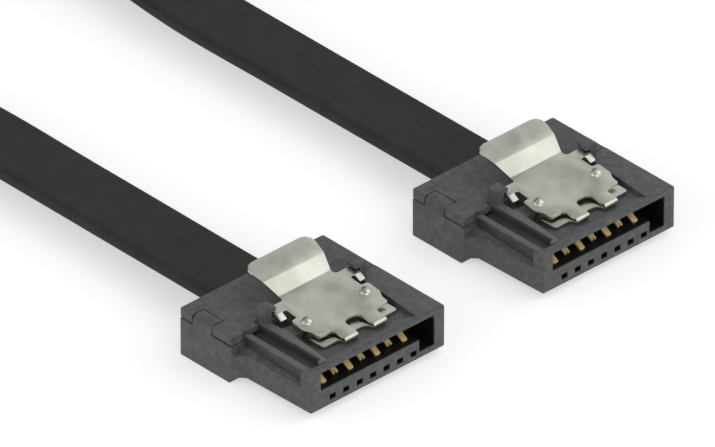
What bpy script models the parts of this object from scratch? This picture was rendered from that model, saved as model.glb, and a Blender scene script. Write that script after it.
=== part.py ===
"""Flat SATA data cable: one ribbon with a straight latching connector on each end.

A connector's own frame has its origin under the middle of its contact row, at the rear face and
on the surface that it lies on. +X runs to the mouth, +Y to the key leg of the slot and +Z up, to
the latch. Both connectors face +X side by side, and the ribbon loops round behind them.
"""

import math

import bmesh
import bpy
from mathutils import Matrix, Vector

MM = 0.001

# Clearances
FIT = 0.05 * MM
SEAM = 0.09 * MM
LATCH_PLAY = 0.05 * MM

# Facets: in a quarter round of an outline, the most that one facet of a bend turns, and the
# angle under which two facets are one flat face
ARC_STEPS = 3
BEND_STEP = math.radians(24)
FLAT_ANGLE = math.radians(0.02)

# Layout of the two connectors
CONNECTOR_SPACING = 22 * MM
CONNECTOR_NAMES = ("a", "b")

# Housing
NOSE_LENGTH = 7.27 * MM
HALF_WIDTH = 6.79 * MM
NOSE_INSET = 0.74 * MM
NOSE_TAPER = 0.19 * MM
NOSE_BLEND = 0.75 * MM
REAR_BLOCK_LENGTH = 5.05 * MM
SEAT_HEIGHT = 3.04 * MM
NOSE_BOTTOM = 0.53 * MM
NOSE_TOP = 3.85 * MM
CORNER_RADIUS = 0.15 * MM
EDGE_ROUND = 0.09 * MM
RIM_LENGTH = 1.0 * MM

# Mating slot, and the row of windows under it
SLOT_LEFT = 4.95 * MM
SLOT_RIGHT = 5.78 * MM
SLOT_FLOOR = 2.05 * MM
SLOT_HEIGHT = 1.0 * MM
SLOT_FLARE = 0.45 * MM
SLOT_LEAD_IN = 1.4 * MM
SLOT_DEPTH = 6.0 * MM
KEY_WIDTH = 1.45 * MM
KEY_DROP = 1.0 * MM
WINDOW_WIDTH = 0.59 * MM
WINDOW_HEIGHT = 0.45 * MM
WINDOW_CENTRE_HEIGHT = 1.15 * MM
WINDOW_DEPTH = 2.0 * MM

# Moulded relief beside the latch: side ledge, ridge, groove and rail
LEDGE_REAR_HEIGHT = 2.46 * MM
LEDGE_FRONT_HEIGHT = 2.14 * MM
LEDGE_RISE = 0.5 * MM
RIDGE_OUTER = 5.7 * MM
RIDGE_WIDTH = 0.3 * MM
RIDGE_ROUND = 0.13 * MM
RIDGE_END = 0.26 * MM
GROOVE_REAR_DEPTH = 0.5 * MM
GROOVE_FRONT_DEPTH = 0.3 * MM
GROOVE_END = 0.42 * MM
RAIL_WIDTH = 0.98 * MM
RAIL_FRONT_WIDTH = 0.7 * MM
RAIL_SPLAY = 0.72 * MM
RAIL_HEIGHT = 0.06 * MM
RAIL_ROUND = 0.1 * MM
RAIL_END = 0.5 * MM

# Cover, and the lug of the housing that it snaps over
COVER_OVERLAP = 0.2 * MM
COVER_THICKNESS = 0.75 * MM
COVER_INSET = 0.03 * MM
COVER_ROUND = 0.08 * MM
TAB_ROUND = 0.22 * MM
LUG_REAR = 1.33 * MM
LUG_LENGTH = 1.9 * MM
LUG_WIDTH = 1.04 * MM
LUG_ROUND = 0.52 * MM
CLAMP_REAR = 0.05 * MM
CLAMP_LENGTH = 1.35 * MM
TICK_REAR = 0.8 * MM
TICK_LENGTH = 0.1 * MM
TICK_START = 5.2 * MM
TICK_WIDTH = 1.0 * MM
TICK_HEIGHT = 0.03 * MM

# Ribbon
RIBBON_WIDTH = 5.6 * MM
RIBBON_THICKNESS = 1.0 * MM
RIBBON_ROUND = 0.28 * MM
RIBBON_HEIGHT = 2.13 * MM
RIBBON_INSIDE = 1.35 * MM
RIBBON_STEP = 5.0 * MM
CHAMBER_LENGTH = 4.3 * MM

# Contacts
CONTACT_COUNT = 7
CONTACT_PITCH = 1.27 * MM
CONTACT_SHIFT = -0.3 * MM
CONTACT_WIDTH = 0.46 * MM
CONTACT_THICKNESS = 0.15 * MM
CONTACT_TAIL = 3.2 * MM
CONTACT_ELBOW = 2.0 * MM
CONTACT_BEND = 0.5 * MM
CONTACT_SLOPE = math.radians(31)
CONTACT_TIP_GAP = 0.55 * MM
FORK_SETBACK = 0.2 * MM
FORK_DEPTH = 0.28 * MM
FORK_WIDTH = 0.2 * MM
CHANNEL_HEADROOM = 0.1 * MM

# Latch clip: a folded sheet, and where it sits
LATCH_Y = 0.65 * MM
LATCH_TRAVEL = math.radians(4)
SHEET = 0.2 * MM
FOLD_FROM_MOUTH = 1.6 * MM
FOLD_RADIUS = 0.15 * MM
LATCH_FLOOR_HEIGHT = 3.51 * MM
LEAF_LENGTH = 2.4 * MM
LEAF_HALF_WIDTH = 3.5 * MM
LEAF_STEP = 0.37 * MM
FINGER_HALF_WIDTH = 1.97 * MM
FINGER_GAP = 0.74 * MM
GAP_IN_LEAF = 0.5 * MM
GAP_IN_PLATE = 1.48 * MM
PLATE_TILT = math.radians(6.6)
PLATE_LENGTH = 6.1 * MM
PLATE_SHOULDER = 1.06 * MM
SHOULDER_HALF_WIDTH = 3.28 * MM
FLANK_HALF_WIDTH = 3.62 * MM
FLANK_WAIST = 3.3 * MM
FLANK_FRONT = 2.35 * MM
FLANK_WAIST_FROM_FOLD = 1.75 * MM
FLANK_ROUND = 0.7 * MM
FLANK_END = 3.6 * MM
EAR_START = 4.14 * MM
EAR_ROOT = 4.68 * MM
EAR_END = 5.62 * MM
EAR_HALF_WIDTH = 3.98 * MM
EAR_INNER = 3.42 * MM
EAR_DROOP = math.radians(23)
NOTCH_INNER = 3.04 * MM
NECK_HALF_WIDTH = 2.45 * MM
BEND_RADIUS = 0.45 * MM
RAMP_TILT = math.radians(35)
RAMP_LENGTH = 1.42 * MM
LEVER_TILT = math.radians(17)
LEVER_LENGTH = 1.88 * MM
LEVER_ROOT_HALF_WIDTH = 2.85 * MM
LEVER_HALF_WIDTH = 3.2 * MM
LEVER_ROUND = 1.0 * MM
SHEET_ROUND = 0.25 * MM
DIMPLE_FROM_FOLD = 2.9 * MM
DIMPLE_OUT = 2.75 * MM
DIMPLE_WIDTH = 0.88 * MM
DIMPLE_HEIGHT = 0.28 * MM
DIMPLE_SLIT = 0.09 * MM
SLIT_SETBACK = 0.06 * MM

# Latch recess and the hook posts over the ears
RECESS_SIDE_PLAY = 0.25 * MM
RECESS_SPREAD = 0.34 * MM
RECESS_BEHIND_LEAF = 0.3 * MM
RECESS_RAMP_START = 1.2 * MM
RECESS_RAMP_END = 0.35 * MM
HOOK_FROM_MOUTH = 6.48 * MM
HOOK_LENGTH = 0.95 * MM
HOOK_STEM = 0.6 * MM
HOOK_OVERHANG = 0.42 * MM
HOOK_THICKNESS = 0.36 * MM
HOOK_SIDE_PLAY = 0.2 * MM
HOOK_ROUND = 0.12 * MM
POCKET_DEPTH = 0.45 * MM
POCKET_PLAY = 0.1 * MM
POCKET_AHEAD = 0.25 * MM
POCKET_WALL = 0.3 * MM

# How far a cutter runs past the surface that it opens
PAST = 1.0 * MM

# Places that follow from the sizes
HOUSING_LENGTH = REAR_BLOCK_LENGTH + NOSE_LENGTH
COVER_LENGTH = REAR_BLOCK_LENGTH + COVER_OVERLAP
COVER_BOTTOM = SEAT_HEIGHT + FIT
COVER_TOP = COVER_BOTTOM + COVER_THICKNESS
SLOT_ROOF = SLOT_FLOOR + SLOT_HEIGHT
SLOT_BACK = HOUSING_LENGTH - SLOT_DEPTH
RIDGE_INNER = RIDGE_OUTER - RIDGE_WIDTH
RECESS_HALF_WIDTH = LEAF_HALF_WIDTH + RECESS_SIDE_PLAY
RAIL_INNER = RECESS_HALF_WIDTH - LATCH_Y
RAIL_OUTER = RAIL_INNER + RAIL_WIDTH
RAIL_FRONT_INNER = RAIL_INNER + RAIL_SPLAY
RAIL_FRONT_OUTER = RAIL_FRONT_INNER + RAIL_FRONT_WIDTH
RAIL_MIDDLE = (RAIL_OUTER + RAIL_FRONT_INNER) / 2
RAIL_TOP = NOSE_TOP + RAIL_HEIGHT
FOLD_X = HOUSING_LENGTH - FOLD_FROM_MOUTH
LEAF_MIDDLE_HEIGHT = LATCH_FLOOR_HEIGHT + FIT + SHEET / 2
FOLD_HEIGHT = LEAF_MIDDLE_HEIGHT + FOLD_RADIUS
FOLD_TURN = math.pi - PLATE_TILT
PLATE_START = LEAF_LENGTH + FOLD_RADIUS * FOLD_TURN
EAR_TOP = FOLD_HEIGHT + FOLD_RADIUS + SHEET / 2 + EAR_END * math.sin(PLATE_TILT)
HOOK_UNDERSIDE = EAR_TOP + LATCH_PLAY
HOOK_FRONT = HOUSING_LENGTH - HOOK_FROM_MOUTH
HOOK_REAR = HOOK_FRONT - HOOK_LENGTH
HOOK_INNER = EAR_HALF_WIDTH + HOOK_SIDE_PLAY
CHAMBER_HALF_WIDTH = RIBBON_WIDTH / 2 + FIT
RIBBON_TOP = RIBBON_HEIGHT + RIBBON_THICKNESS / 2
RIBBON_BOTTOM = RIBBON_HEIGHT - RIBBON_THICKNESS / 2
CONTACT_HEIGHT = SEAT_HEIGHT - CONTACT_THICKNESS / 2
CHANNEL_HALF_WIDTH = CONTACT_WIDTH / 2 + FIT
CHANNEL_FLOOR = CONTACT_HEIGHT - CONTACT_THICKNESS / 2 - FIT
CHANNEL_ROOF = CONTACT_HEIGHT + CONTACT_THICKNESS / 2 + CHANNEL_HEADROOM
RIBBON_START_X = RIBBON_INSIDE - HOUSING_LENGTH / 2

# The ribbon's route from connector a to the back of the loop, chosen by hand: x, y and height
# in millimetres, and how far the ribbon has turned onto its edge, in degrees
HALF_ROUTE = (
    (-14.0, -11.0, 2.13, 0),
    (-25.0, -11.0, 2.13, 0),
    (-36.0, -11.05, 2.14, 0),
    (-46.0, -11.8, 2.25, 12),
    (-56.0, -13.8, 2.52, 38),
    (-66.0, -17.0, 2.86, 66),
    (-76.0, -20.8, 2.9, 84),
    (-87.0, -24.6, 2.83, 90),
    (-98.5, -27.4, 2.82, 90),
    (-110.0, -27.6, 2.82, 90),
    (-120.8, -24.4, 2.82, 90),
    (-129.6, -18.0, 2.82, 90),
    (-135.2, -9.2, 2.82, 90),
)
LOOP_BACK = (-137.1, 0.0, 2.82, 90)

HOUSING_COLOUR = (0.105, 0.112, 0.114, 1.0)
RIBBON_COLOUR = (0.033, 0.032, 0.029, 1.0)
STEEL_COLOUR = (0.60, 0.61, 0.56, 1.0)
GOLD_COLOUR = (0.90, 0.66, 0.33, 1.0)


def clear_scene():
    """Start from an empty scene."""
    for obj in list(bpy.data.objects):
        bpy.data.objects.remove(obj)


def material(name, colour, roughness, metallic):
    """A Principled material."""
    made = bpy.data.materials.new(name)
    made.use_nodes = True
    shader = made.node_tree.nodes["Principled BSDF"]
    shader.inputs["Base Color"].default_value = colour
    shader.inputs["Roughness"].default_value = roughness
    shader.inputs["Metallic"].default_value = metallic
    made.diffuse_color = colour
    return made


def place(name, data, parent, location=(0, 0, 0)):
    """Link a named object with this data under a parent."""
    obj = bpy.data.objects.new(name, data)
    obj.parent = parent
    obj.location = location
    bpy.context.collection.objects.link(obj)
    return obj


def working_solid(bm):
    """An object that holds a mesh while it is being modelled, in triangles so that each is flat."""
    bmesh.ops.triangulate(bm, faces=bm.faces)
    mesh = bpy.data.meshes.new("working")
    bm.to_mesh(mesh)
    bm.free()
    return place("working", mesh, None)


def rounded(corners, steps=ARC_STEPS):
    """A closed outline from (a, b, radius) corners, each turned with an arc that fits its sides."""
    points = []
    for index, (a, b, radius) in enumerate(corners):
        here = Vector((a, b))
        if radius == 0:
            points.append(here)
            continue
        back = Vector(corners[index - 1][:2]) - here
        ahead = Vector(corners[(index + 1) % len(corners)][:2]) - here
        to_back = back.normalized()
        to_ahead = ahead.normalized()
        half_angle = to_back.angle(to_ahead) / 2
        reach = min(radius / math.tan(half_angle), 0.48 * back.length, 0.48 * ahead.length)
        used = reach * math.tan(half_angle)
        centre = here + (to_back + to_ahead).normalized() * (used / math.sin(half_angle))
        first = (here + to_back * reach - centre) / used
        last = (here + to_ahead * reach - centre) / used
        points += [centre + used * first.slerp(last, step / steps) for step in range(steps + 1)]
    return points


def mirrored(half):
    """The whole outline of a shape whose half, at positive b, runs from end to end."""
    return half + [(a, -b, radius) for a, b, radius in reversed(half)]


def prism(outline, axis, low, high, ease=0.0):
    """A solid swept along one axis from an outline of the other two, with its end rims eased."""
    order = {"X": (2, 0, 1), "Y": (0, 2, 1), "Z": (0, 1, 2)}[axis]
    bm = bmesh.new()
    corners = []
    for a, b in outline:
        values = (a, b, low)
        corners.append(bm.verts.new([values[index] for index in order]))
    face = bm.faces.new(corners)
    swept = bmesh.ops.extrude_face_region(bm, geom=[face])
    risen = [item for item in swept["geom"] if isinstance(item, bmesh.types.BMVert)]
    travel = (0, 0, high - low)
    bmesh.ops.translate(bm, verts=risen, vec=[travel[index] for index in order])
    bmesh.ops.recalc_face_normals(bm, faces=bm.faces)
    if ease:
        rims = [edge for edge in bm.edges if any(len(f.verts) == len(outline) for f in edge.link_faces)]
        bmesh.ops.bevel(
            bm, geom=rims, offset=ease, segments=2, profile=0.5, affect="EDGES", clamp_overlap=True
        )
    return working_solid(bm)


def box(x, y, z, ease=0.0):
    """A block between two limits on each axis."""
    outline = [(x[0], y[0]), (x[1], y[0]), (x[1], y[1]), (x[0], y[1])]
    return prism(outline, "Z", z[0], z[1], ease)


def sloped(solid, rise_per_length, pivot_x):
    """Shear a solid upwards along X, so that its heights are true at pivot_x."""
    for vert in solid.data.vertices:
        vert.co.z += rise_per_length * (vert.co.x - pivot_x)
    return solid


def boolean(solid, operation, tools):
    """Join to the solid, or take from it, each tool in turn, and use the tools up."""
    for tool in tools:
        tool.hide_render = True
        tool.display_type = "WIRE"
        modifier = solid.modifiers.new(operation.title(), "BOOLEAN")
        modifier.operation = operation
        modifier.solver = "EXACT"
        modifier.object = tool
        graph = bpy.context.evaluated_depsgraph_get()
        result = bpy.data.meshes.new_from_object(solid.evaluated_get(graph))
        solid.modifiers.clear()
        bm = bmesh.new()
        bm.from_mesh(result)
        bmesh.ops.dissolve_limit(bm, angle_limit=FLAT_ANGLE, verts=bm.verts, edges=bm.edges)
        bmesh.ops.triangulate(bm, faces=bm.faces)
        bm.to_mesh(result)
        bm.free()
        solid.data = result
        bpy.data.objects.remove(tool)
    return solid


def finished_mesh(solid, name, paint, sharp_angle=math.radians(30)):
    """Take the mesh out of a working solid and dress it."""
    mesh = solid.data
    bpy.data.objects.remove(solid)
    mesh.name = name
    mesh.materials.clear()
    mesh.materials.append(paint)
    mesh.shade_smooth()
    mesh.set_sharp_from_angle(angle=sharp_angle)
    return mesh


def contact_offsets():
    """The Y place of each contact's window, in order."""
    middle = (CONTACT_COUNT - 1) / 2
    return [(index - middle) * CONTACT_PITCH for index in range(CONTACT_COUNT)]


def fold_stations(pieces):
    """Distances along a flat strip at which it is divided before it is folded."""
    stations = []
    travelled = 0.0
    for length, turn in pieces:
        facets = max(1, math.ceil(abs(turn) / BEND_STEP))
        stations += [travelled + length * step / facets for step in range(1, facets + 1)]
        travelled += length
    return stations[:-1]


def on_fold(pieces, distance):
    """The point of the folded middle line at this distance from its start, and its normal."""
    point = Vector((0.0, 0.0))
    angle = 0.0
    for index, (length, turn) in enumerate(pieces):
        last = index == len(pieces) - 1
        part = distance if last else min(distance, length)
        if turn:
            radius = length / turn
            swept = part / radius
            across = math.sin(angle + swept) - math.sin(angle)
            along = math.cos(angle) - math.cos(angle + swept)
            point += radius * Vector((across, along))
            angle += swept
        else:
            point += part * Vector((math.cos(angle), math.sin(angle)))
        distance -= part
        if distance <= 0:
            break
    return point, Vector((-math.sin(angle), math.cos(angle)))


def fold(blank, pieces, start):
    """Fold a flat blank, which lies along X about z = 0, so that its X follows the pieces."""
    bm = bmesh.new()
    bm.from_mesh(blank.data)
    for station in fold_stations(pieces):
        everything = bm.verts[:] + bm.edges[:] + bm.faces[:]
        bmesh.ops.bisect_plane(bm, geom=everything, plane_co=(station, 0, 0), plane_no=(1, 0, 0))
    for vert in bm.verts:
        point, normal = on_fold(pieces, vert.co.x)
        folded = point + normal * vert.co.z
        vert.co = Vector((start[0] + folded.x, vert.co.y, start[1] + folded.y))
    bm.to_mesh(blank.data)
    bm.free()
    return blank


def nose_outline():
    """Plan outline of the front body, whose left side steps in past the cover."""
    step_x = COVER_LENGTH
    blend_x = step_x + NOSE_BLEND
    left = -(HALF_WIDTH - NOSE_INSET)
    return rounded([
        (REAR_BLOCK_LENGTH / 2, -HALF_WIDTH, 0),
        (step_x, -HALF_WIDTH, NOSE_BLEND / 2),
        (blend_x, left, NOSE_BLEND / 2),
        (HOUSING_LENGTH, left + NOSE_TAPER, CORNER_RADIUS),
        (HOUSING_LENGTH, HALF_WIDTH, CORNER_RADIUS),
        (REAR_BLOCK_LENGTH / 2, HALF_WIDTH, 0),
    ])


def rear_outline(length, half_width):
    """Plan outline of the rear block or of the cover on it."""
    return rounded([
        (0, -half_width, CORNER_RADIUS),
        (length, -half_width, 0),
        (length, half_width, 0),
        (0, half_width, CORNER_RADIUS),
    ])


def housing_blank():
    """The moulded body before its slot, seats and relief."""
    rear = prism(rear_outline(REAR_BLOCK_LENGTH, HALF_WIDTH), "Z", 0, SEAT_HEIGHT, EDGE_ROUND)
    nose = prism(nose_outline(), "Z", NOSE_BOTTOM, NOSE_TOP, EDGE_ROUND)
    return boolean(rear, "UNION", [nose])


def cover_seat():
    """Cutter that clears the space of the cover above its seat."""
    side = HALF_WIDTH + PAST
    return box((-PAST, COVER_LENGTH + SEAM), (-side, side), (SEAT_HEIGHT, NOSE_TOP + PAST))


def slot_cutters():
    """The L-shaped mating slot: a flared slit and its key leg."""
    mouth = HOUSING_LENGTH
    flare_past = SLOT_FLARE * (1 + PAST / SLOT_LEAD_IN)
    profile = [
        (SLOT_BACK, SLOT_FLOOR),
        (mouth + PAST, SLOT_FLOOR),
        (mouth + PAST, SLOT_ROOF + flare_past),
        (mouth - SLOT_LEAD_IN, SLOT_ROOF),
        (SLOT_BACK, SLOT_ROOF),
    ]
    slit = prism(profile, "Y", -SLOT_LEFT, SLOT_RIGHT)
    key_floor = SLOT_FLOOR - KEY_DROP
    key_top = SLOT_FLOOR + SLOT_HEIGHT / 4
    key = box((SLOT_BACK, mouth + PAST), (SLOT_RIGHT - KEY_WIDTH, SLOT_RIGHT), (key_floor, key_top))
    return [slit, key]


def window_cutters():
    """The row of square blind windows below the slot."""
    half_width = WINDOW_WIDTH / 2
    height = (WINDOW_CENTRE_HEIGHT - WINDOW_HEIGHT / 2, WINDOW_CENTRE_HEIGHT + WINDOW_HEIGHT / 2)
    depth = (HOUSING_LENGTH - WINDOW_DEPTH, HOUSING_LENGTH + PAST)
    return [box(depth, (y - half_width, y + half_width), height) for y in contact_offsets()]


def channel_cutters():
    """A channel for each contact, from the wire chamber along the roof of the slot."""
    length = (CHAMBER_LENGTH - PAST, HOUSING_LENGTH - CONTACT_ELBOW + CONTACT_BEND / 2)
    cutters = []
    for offset in contact_offsets():
        y = offset + CONTACT_SHIFT
        width = (y - CHANNEL_HALF_WIDTH, y + CHANNEL_HALF_WIDTH)
        cutters.append(box(length, width, (CHANNEL_FLOOR, CHANNEL_ROOF)))
    return cutters


def wire_chamber():
    """Cutter for the open channel that takes the ribbon's end and the contacts' tails."""
    y = (-CHAMBER_HALF_WIDTH, CHAMBER_HALF_WIDTH)
    return box((-PAST, CHAMBER_LENGTH), y, (RIBBON_BOTTOM - FIT, SEAT_HEIGHT + PAST))


def recess_cutter():
    """The latch's recess: its floor falls away to the rear, and its right side spreads there.

    Its left side runs under the rail, which closes it.
    """
    leaf_rear = FOLD_X - LEAF_LENGTH - RECESS_BEHIND_LEAF
    fall = (FOLD_X - leaf_rear) * math.tan(LATCH_TRAVEL)
    ramp_start = HOUSING_LENGTH - RECESS_RAMP_START
    ramp_end = HOUSING_LENGTH - RECESS_RAMP_END
    top = NOSE_TOP + PAST
    climb = (NOSE_TOP - LATCH_FLOOR_HEIGHT) / (ramp_end - ramp_start)
    profile = [
        (leaf_rear, LATCH_FLOOR_HEIGHT - fall),
        (FOLD_X, LATCH_FLOOR_HEIGHT),
        (ramp_start, LATCH_FLOOR_HEIGHT),
        (ramp_end + PAST, NOSE_TOP + climb * PAST),
        (ramp_end + PAST, top + climb * PAST),
        (leaf_rear, top),
    ]
    cutter = prism(profile, "Y", -RAIL_MIDDLE, LATCH_Y + RECESS_HALF_WIDTH)
    spread = RECESS_SPREAD / (ramp_end - leaf_rear)
    for vert in cutter.data.vertices:
        if vert.co.y > LATCH_Y:
            vert.co.y += spread * (ramp_end - vert.co.x)
    return cutter


def ledge_cutter():
    """Space over the side ledge, whose floor drops towards the rim and rises to the ridge."""
    rear = COVER_LENGTH
    front = HOUSING_LENGTH - RIM_LENGTH
    fall = (LEDGE_FRONT_HEIGHT - LEDGE_REAR_HEIGHT) / (front - rear)
    side = HALF_WIDTH - NOSE_INSET
    outside = HALF_WIDTH + PAST
    profile = [
        (-outside, LEDGE_REAR_HEIGHT),
        (-side, LEDGE_REAR_HEIGHT),
        (-RIDGE_OUTER, LEDGE_REAR_HEIGHT + LEDGE_RISE),
        (-RIDGE_OUTER, NOSE_TOP + 2 * PAST),
        (-outside, NOSE_TOP + 2 * PAST),
    ]
    return sloped(prism(profile, "X", rear, front), fall, rear)


def groove_cutter():
    """The groove between the ridge and the rail, whose floor rises to the front."""
    rear = COVER_LENGTH
    front = HOUSING_LENGTH - GROOVE_END
    floor = NOSE_TOP - GROOVE_REAR_DEPTH
    rise = (GROOVE_REAR_DEPTH - GROOVE_FRONT_DEPTH) / (front - rear)
    profile = [
        (-RIDGE_INNER, floor),
        (-RAIL_MIDDLE, floor),
        (-RAIL_MIDDLE, NOSE_TOP + PAST),
        (-RIDGE_INNER, NOSE_TOP + PAST),
    ]
    return sloped(prism(profile, "X", rear, front), rise, rear)


def pocket_cutter(side):
    """The pocket in the nose that the drooping tip of one ear dips into; side is -1 or 1."""
    inner = NOTCH_INNER - POCKET_PLAY
    y_limits = sorted((LATCH_Y + side * inner, LATCH_Y + side * HOOK_INNER))
    front = FOLD_X - EAR_START * math.cos(PLATE_TILT) + POCKET_AHEAD
    rear = COVER_LENGTH + POCKET_WALL
    return box((rear, front), y_limits, (NOSE_TOP - POCKET_DEPTH, NOSE_TOP + PAST))


def ridge():
    """The ridge between the ledge and the groove, with a rounded top."""
    top = NOSE_TOP + FIT / 2
    front = HOUSING_LENGTH - RIDGE_END
    section = rounded([
        (-RIDGE_OUTER, SLOT_ROOF, 0),
        (-RIDGE_OUTER, top, RIDGE_ROUND),
        (-RIDGE_INNER, top, RIDGE_ROUND / 2),
        (-RIDGE_INNER, SLOT_ROOF, 0),
    ])
    return prism(section, "X", COVER_LENGTH + SEAM, front)


def rail():
    """The rail along the left side of the latch's recess, which splays out to the front."""
    rear = COVER_LENGTH + SEAM
    front = HOUSING_LENGTH - RAIL_END
    outline = [
        (rear, -RAIL_OUTER),
        (front, -RAIL_FRONT_OUTER),
        (front, -RAIL_FRONT_INNER),
        (rear, -RAIL_INNER),
    ]
    return prism(outline, "Z", SLOT_ROOF, RAIL_TOP, RAIL_ROUND)


def hook_post(side):
    """A post beside the latch whose head reaches over the ear; side is -1 or 1."""
    outer = HOOK_INNER + HOOK_STEM
    tip = HOOK_INNER - HOOK_OVERHANG
    top = HOOK_UNDERSIDE + HOOK_THICKNESS
    bottom = SEAT_HEIGHT - PAST / 2
    corners = [
        (HOOK_INNER, bottom, 0),
        (HOOK_INNER, HOOK_UNDERSIDE, 0),
        (tip, HOOK_UNDERSIDE, 0),
        (tip, top, HOOK_ROUND),
        (outer, top, HOOK_ROUND),
        (outer, bottom, 0),
    ]
    section = [(LATCH_Y + side * point.x, point.y) for point in rounded(corners)]
    return prism(section, "X", HOOK_REAR, HOOK_FRONT)


def lug():
    """The lug on the left side of the seat, which the cover snaps over."""
    inner = HALF_WIDTH - LUG_WIDTH
    bottom = SEAT_HEIGHT - LUG_ROUND
    section = rounded([
        (-inner, bottom, 0),
        (-HALF_WIDTH, bottom, 0),
        (-HALF_WIDTH, COVER_TOP, LUG_ROUND),
        (-inner, COVER_TOP, 0),
    ])
    return prism(section, "X", LUG_REAR, LUG_REAR + LUG_LENGTH)


def lug_notch():
    """The cover's notch round the lug, with rounded lower corners on the tabs beside it."""
    rear = LUG_REAR - SEAM
    front = LUG_REAR + LUG_LENGTH + SEAM
    low = COVER_BOTTOM - FIT
    top = COVER_TOP + PAST
    outline = rounded([
        (rear - 2 * TAB_ROUND, low - PAST, 0),
        (rear - 2 * TAB_ROUND, low, 0),
        (rear, low, TAB_ROUND),
        (rear, top, 0),
        (front, top, 0),
        (front, low, TAB_ROUND),
        (front + 2 * TAB_ROUND, low, 0),
        (front + 2 * TAB_ROUND, low - PAST, 0),
    ])
    return prism(outline, "Y", -HALF_WIDTH - PAST, LUG_WIDTH + SEAM - HALF_WIDTH)


def build_housing(paint):
    """One moulded piece: body, slot, windows, latch recess, hooks, lug and cable channel."""
    solid = housing_blank()
    cutters = [cover_seat(), wire_chamber(), ledge_cutter(), groove_cutter(), recess_cutter()]
    boolean(solid, "DIFFERENCE", cutters)
    boolean(solid, "UNION", [ridge(), rail()])
    boolean(solid, "DIFFERENCE", [pocket_cutter(-1), pocket_cutter(1)])
    boolean(solid, "UNION", [hook_post(-1), hook_post(1), lug()])
    boolean(solid, "DIFFERENCE", slot_cutters() + window_cutters() + channel_cutters())
    return finished_mesh(solid, "housing", paint)


def post_notch(side):
    """The clearance in the cover round one hook post."""
    near = side * HOOK_INNER
    far = side * (HOOK_INNER + HOOK_STEM)
    low, high = sorted((LATCH_Y + near, LATCH_Y + far))
    x_limits = (HOOK_REAR - SEAM, COVER_LENGTH + PAST)
    return box(x_limits, (low - SEAM, high + SEAM), (COVER_BOTTOM - PAST, COVER_TOP + PAST))


def build_cover(paint):
    """The cap over the rear block, with notches for lug and posts, and its clamping rib."""
    half_width = HALF_WIDTH - COVER_INSET
    outline = rear_outline(COVER_LENGTH, half_width)
    solid = prism(outline, "Z", COVER_BOTTOM, COVER_TOP, COVER_ROUND)
    rib_y = CHAMBER_HALF_WIDTH - SEAM
    rib_height = (RIBBON_TOP + FIT, COVER_BOTTOM + COVER_THICKNESS / 2)
    rib = box((CLAMP_REAR, CLAMP_REAR + CLAMP_LENGTH), (-rib_y, rib_y), rib_height)
    tick_x = (TICK_REAR, TICK_REAR + TICK_LENGTH)
    tick_y = (-TICK_START - TICK_WIDTH, -TICK_START)
    tick = box(tick_x, tick_y, (COVER_TOP - COVER_THICKNESS / 2, COVER_TOP + TICK_HEIGHT))
    boolean(solid, "UNION", [rib, tick])
    boolean(solid, "DIFFERENCE", [lug_notch(), post_notch(-1), post_notch(1)])
    return finished_mesh(solid, "rear_cover", paint)


def clip_outline():
    """Flat outline of the latch clip, from the leaf's rear edge to the lever's end."""
    leaf_front = LEAF_LENGTH - LEAF_STEP
    shoulder = PLATE_START + PLATE_SHOULDER
    bend = PLATE_START + PLATE_LENGTH
    lever_root = bend + RAMP_LENGTH
    lever_end = lever_root + LEVER_LENGTH
    half = [
        (0, LEAF_HALF_WIDTH, SHEET_ROUND),
        (leaf_front, LEAF_HALF_WIDTH, SHEET_ROUND),
        (leaf_front, FINGER_HALF_WIDTH, SHEET_ROUND),
        (shoulder, FINGER_HALF_WIDTH, SHEET_ROUND),
        (shoulder, SHOULDER_HALF_WIDTH, SHEET_ROUND),
        (PLATE_START + FLANK_WAIST_FROM_FOLD, FLANK_WAIST, FLANK_ROUND),
        (PLATE_START + FLANK_FRONT, FLANK_HALF_WIDTH, FLANK_ROUND),
        (PLATE_START + FLANK_END, FLANK_HALF_WIDTH, SHEET_ROUND),
        (PLATE_START + FLANK_END, NOTCH_INNER, SHEET_ROUND / 2),
        (PLATE_START + EAR_ROOT, NOTCH_INNER, SHEET_ROUND / 3),
        (PLATE_START + EAR_ROOT, EAR_INNER, SHEET_ROUND / 3),
        (PLATE_START + EAR_START, EAR_INNER, SHEET_ROUND / 3),
        (PLATE_START + EAR_START, EAR_HALF_WIDTH, SHEET_ROUND / 2),
        (PLATE_START + EAR_END, EAR_HALF_WIDTH, SHEET_ROUND / 2),
        (PLATE_START + EAR_END, NECK_HALF_WIDTH, 2 * SHEET_ROUND),
        (bend, NECK_HALF_WIDTH, 2 * SHEET_ROUND),
        (lever_root, LEVER_ROOT_HALF_WIDTH, SHEET_ROUND),
        (lever_end, LEVER_HALF_WIDTH, LEVER_ROUND),
    ]
    return rounded(mirrored(half))


def dome(width, height, base):
    """A shallow round dome over the plane at this height; a negative height hangs below it."""
    bm = bmesh.new()
    bmesh.ops.create_uvsphere(bm, u_segments=14, v_segments=8, radius=1.0)
    scale = Matrix.Diagonal((width / 2, width / 2, abs(height), 1))
    bmesh.ops.transform(bm, matrix=scale, verts=bm.verts)
    bmesh.ops.translate(bm, verts=bm.verts, vec=(0, 0, base))
    return working_solid(bm)


def moved(solid, x, y):
    """Move a working solid's own mesh."""
    solid.data.transform(Matrix.Translation((x, y, 0)))
    return solid


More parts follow.
